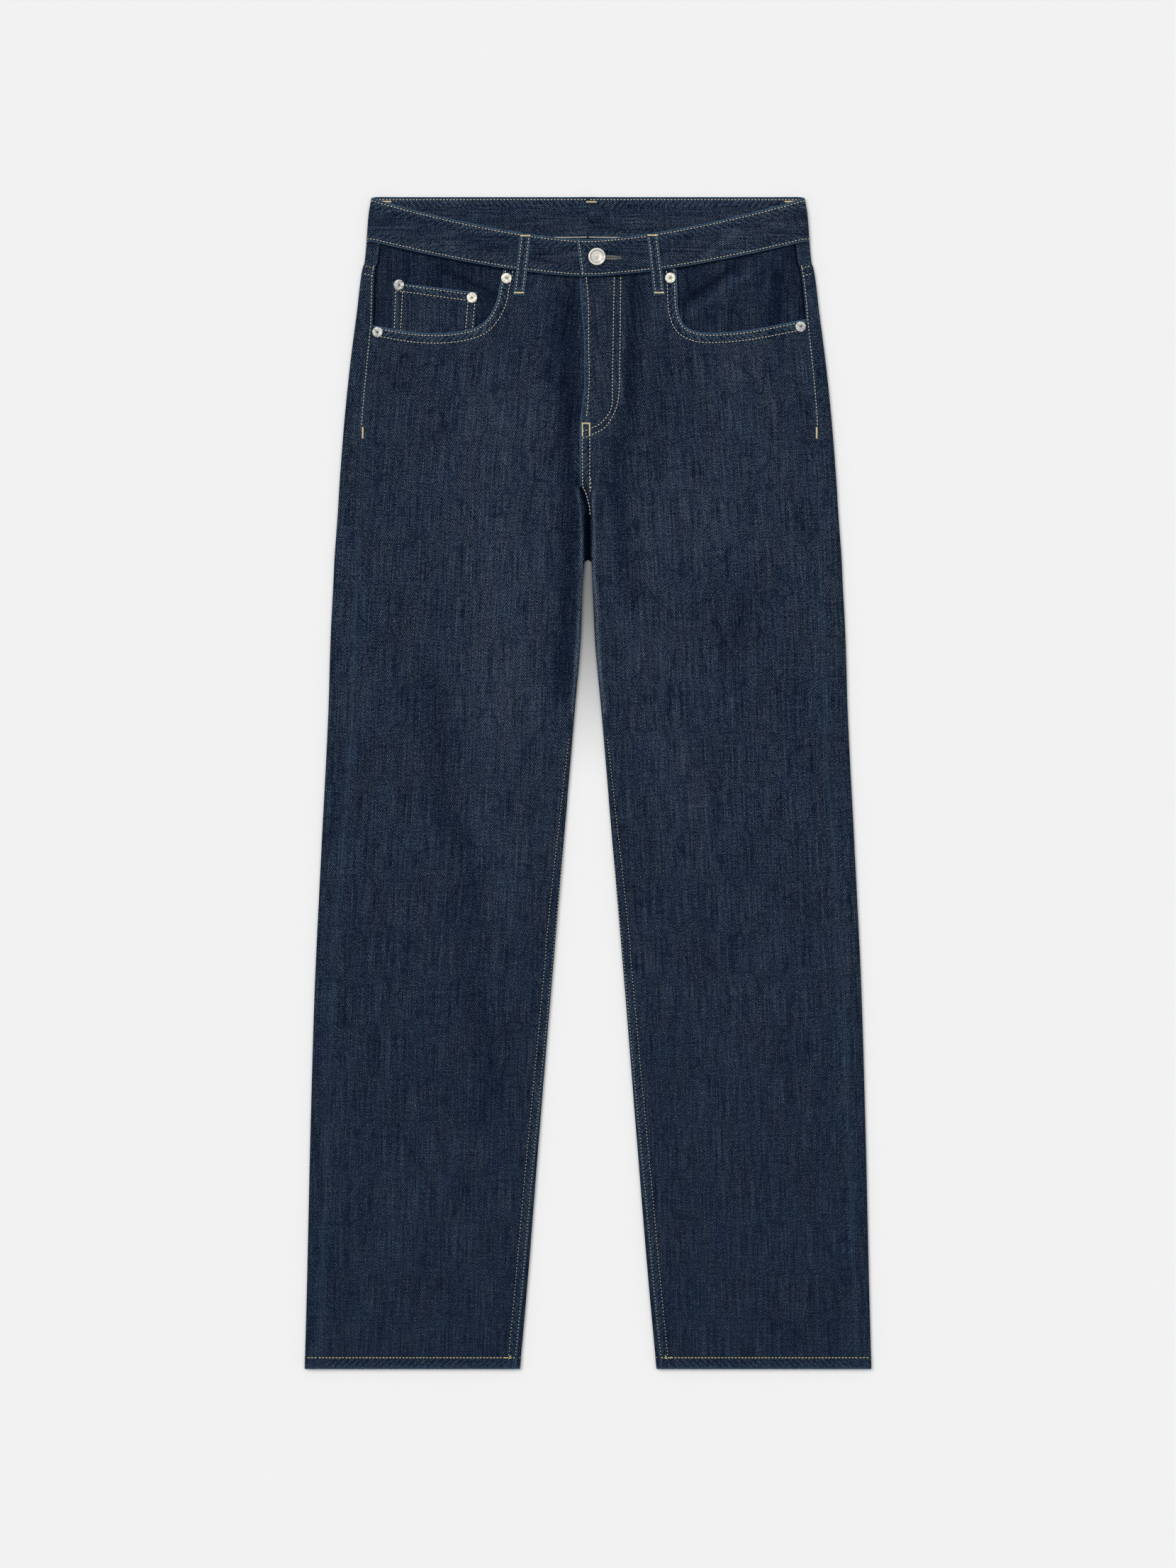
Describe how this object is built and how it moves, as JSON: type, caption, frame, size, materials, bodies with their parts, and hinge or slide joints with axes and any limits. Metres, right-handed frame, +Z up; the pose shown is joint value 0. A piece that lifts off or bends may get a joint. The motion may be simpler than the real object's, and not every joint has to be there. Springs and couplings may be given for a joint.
{
  "type": "pair of jeans laid flat",
  "caption": "Loose straight-leg jeans in dark indigo denim, laid flat with the front up, with pockets, fly, waistband, belt loops, rivets and a button.",
  "frame": {"origin": "centre of the bounding box in X and Y, on the surface that the jeans lie on", "axes": "+X to the wearer's left, +Y from the hems to the waist, +Z up off the surface, out of the front"},
  "size_m": [0.528, 1.092, 0.0114],
  "materials": {
    "panel_denim": "matt twill",
    "trim_denim": "matt twill",
    "rivet_metal": "worn nickel",
    "button_metal": "worn nickel"
  },
  "bodies": {
    "root": {"front_right": "panel_denim", "back_right": "panel_denim", "yoke_right": "panel_denim", "facing_right": "panel_denim", "back_pocket_right": "panel_denim", "waistband_right": "trim_denim", "belt_loop_front_right": "trim_denim", "belt_loop_side_right": "trim_denim", "front_left": "panel_denim", "back_left": "panel_denim", "yoke_left": "panel_denim", "facing_left": "panel_denim", "back_pocket_left": "panel_denim", "waistband_left": "trim_denim", "belt_loop_front_left": "trim_denim", "belt_loop_side_left": "trim_denim", "belt_loop_centre": "trim_denim", "coin_pocket": "panel_denim", "rivet_pocket_right_inner": "rivet_metal", "rivet_pocket_right_outer": "rivet_metal", "rivet_pocket_left_inner": "rivet_metal", "rivet_pocket_left_outer": "rivet_metal", "rivet_coin_right_inner": "rivet_metal", "rivet_coin_right_outer": "rivet_metal", "waist_button": "button_metal"}
  },
  "joints": []
}
